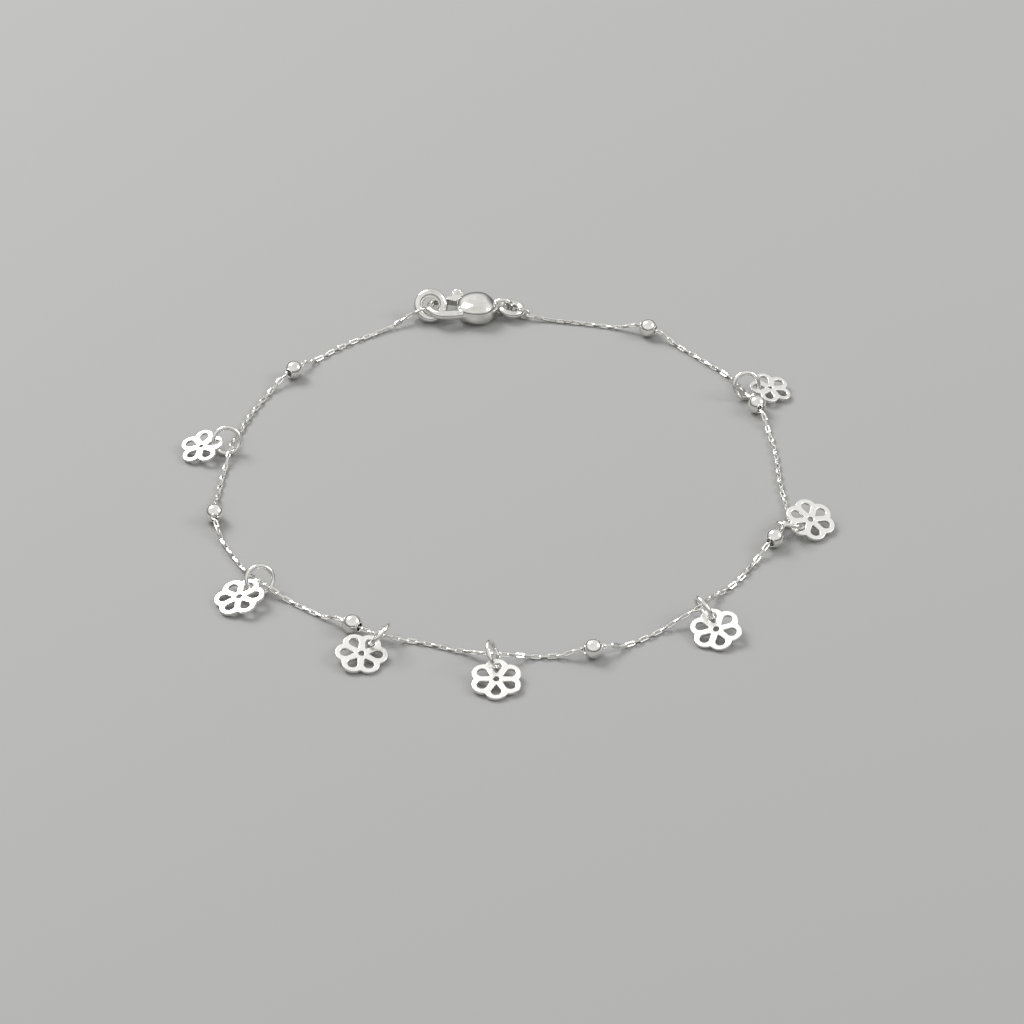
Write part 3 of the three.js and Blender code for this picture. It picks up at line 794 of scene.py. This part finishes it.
arm = [(PIVOT[0], PIVOT[1] + BOSS - BOSS_LAP)]
reach = LEVER_REACH - LEVER_EASE
for y in (LEVER_INNER, (LEVER_INNER + LEVER_OUTER) / 2, LEVER_OUTER):
    arm.append((PIVOT[0] + math.sqrt(reach ** 2 - (y - PIVOT[1]) ** 2), y))
arm += ARM_BACK
lever_shape = cast(
    "clasp_lever_work", LEVER_GRAIN, LEVER_POLISH,
    [post(BOSS, LEVER_THICK / 2, *PIVOT), plate(arm, LEVER_THICK), plate(TAB, LEVER_THICK),
     pad(THUMB_AT, THUMB_HALF)],
    cuts=[post(PIN + PIN_GAP, LEVER_THICK, *PIVOT)])
bmesh.ops.transform(lever_shape, matrix=clasp_frame, verts=lever_shape.verts)
lay("lobster_lever", lever_shape, cast_silver, "lever", "silver_clasp", "clasp_lever")

# ---------------------------------------------------------------------------------------------
# Floor, light and camera
# A plain pale tabletop, large softboxes as for small polished ware, and the camera at the
# photograph's angle.
# ---------------------------------------------------------------------------------------------
FLOOR_SIZE = 6.0
floor_shape = bmesh.new()
bmesh.ops.create_grid(floor_shape, x_segments=1, y_segments=1, size=FLOOR_SIZE / 2)
floor_mesh = bpy.data.meshes.new("tabletop")
floor_shape.to_mesh(floor_mesh)
floor_shape.free()
floor = bpy.data.objects.new("tabletop", floor_mesh)
bpy.context.collection.objects.link(floor)
# Matt pale card: soft shadows and hardly any shine, a tone darker than the silver.
paper = bpy.data.materials.new("matt_pale_card")
paper.use_nodes = True
card = paper.node_tree.nodes["Principled BSDF"]
card.inputs["Base Color"].default_value = linear("#9E9E9D")
card.inputs["Roughness"].default_value = 0.6
card.inputs["Specular IOR Level"].default_value = 0.2
floor_mesh.materials.append(paper)

# Each softbox: its name, where it stands, its width and height in metres, and its watts
LIGHTS = (
    ("key", (-0.40, 0.42, 0.60), 0.40, 0.40, 5.0),
    ("fill", (0.60, 0.05, 0.45), 0.30, 0.30, 1.5),
)
for name, at, wide, high, power in LIGHTS:
    lamp = bpy.data.lights.new(name, "AREA")
    lamp.shape = "RECTANGLE"
    lamp.size = wide
    lamp.size_y = high
    lamp.energy = power
    light = bpy.data.objects.new(name, lamp)
    bpy.context.collection.objects.link(light)
    light.location = at
    light.rotation_mode = "QUATERNION"
    light.rotation_quaternion = (-Vector(at)).to_track_quat("-Z", "Y")
    light.visible_camera = False

# A white tent overhead that darkens towards the tabletop, so the silver's edges show
TENT = (
    (0.0, "#5C5D5F"), (0.12, "#6B6C6E"), (0.3, "#C4C5C6"), (0.46, "#FFFFFF"), (1.0, "#F0F0F0"),
)
TENT_GLOW = 0.86
world = bpy.data.worlds.new("studio")
world.use_nodes = True
bpy.context.scene.world = world
tree = world.node_tree
tree.nodes.clear()
way = add_node(tree, "ShaderNodeTexCoord").outputs["Generated"]
height = add_node(tree, "ShaderNodeSeparateXYZ", {"Vector": way}).outputs["Z"]
tent = add_node(tree, "ShaderNodeValToRGB", {"Fac": height})
tent.color_ramp.elements.remove(tent.color_ramp.elements[0])
tent.color_ramp.elements[0].position = TENT[0][0]
tent.color_ramp.elements[0].color = linear(TENT[0][1])
for position, colour in TENT[1:]:
    tent.color_ramp.elements.new(position).color = linear(colour)
glow = add_node(tree, "ShaderNodeBackground", {"Color": tent.outputs["Color"]},
                {"Strength": TENT_GLOW})
add_node(tree, "ShaderNodeOutputWorld", {"Surface": glow.outputs["Background"]})

CAMERA_DISTANCE = 470.5
CAMERA_ELEVATION = math.radians(37)
FOCAL_SHARE = 3600 / 1024  # focal length, as a share of the picture's width
SENSOR = 36.0
camera = bpy.data.cameras.new("camera")
camera.sensor_width = SENSOR
camera.lens = FOCAL_SHARE * SENSOR
camera.clip_start = 0.01
camera.clip_end = 20
eye = bpy.data.objects.new("camera", camera)
bpy.context.collection.objects.link(eye)
back = Vector((0, -math.cos(CAMERA_ELEVATION), math.sin(CAMERA_ELEVATION)))
eye.location = (SHIFT + back * CAMERA_DISTANCE) * MM
eye.rotation_mode = "QUATERNION"
eye.rotation_quaternion = (-back).to_track_quat("-Z", "Y")
bpy.context.scene.camera = eye
# Plain display colours, so that the white silver keeps its contrast with the tabletop
bpy.context.scene.view_settings.view_transform = "Standard"
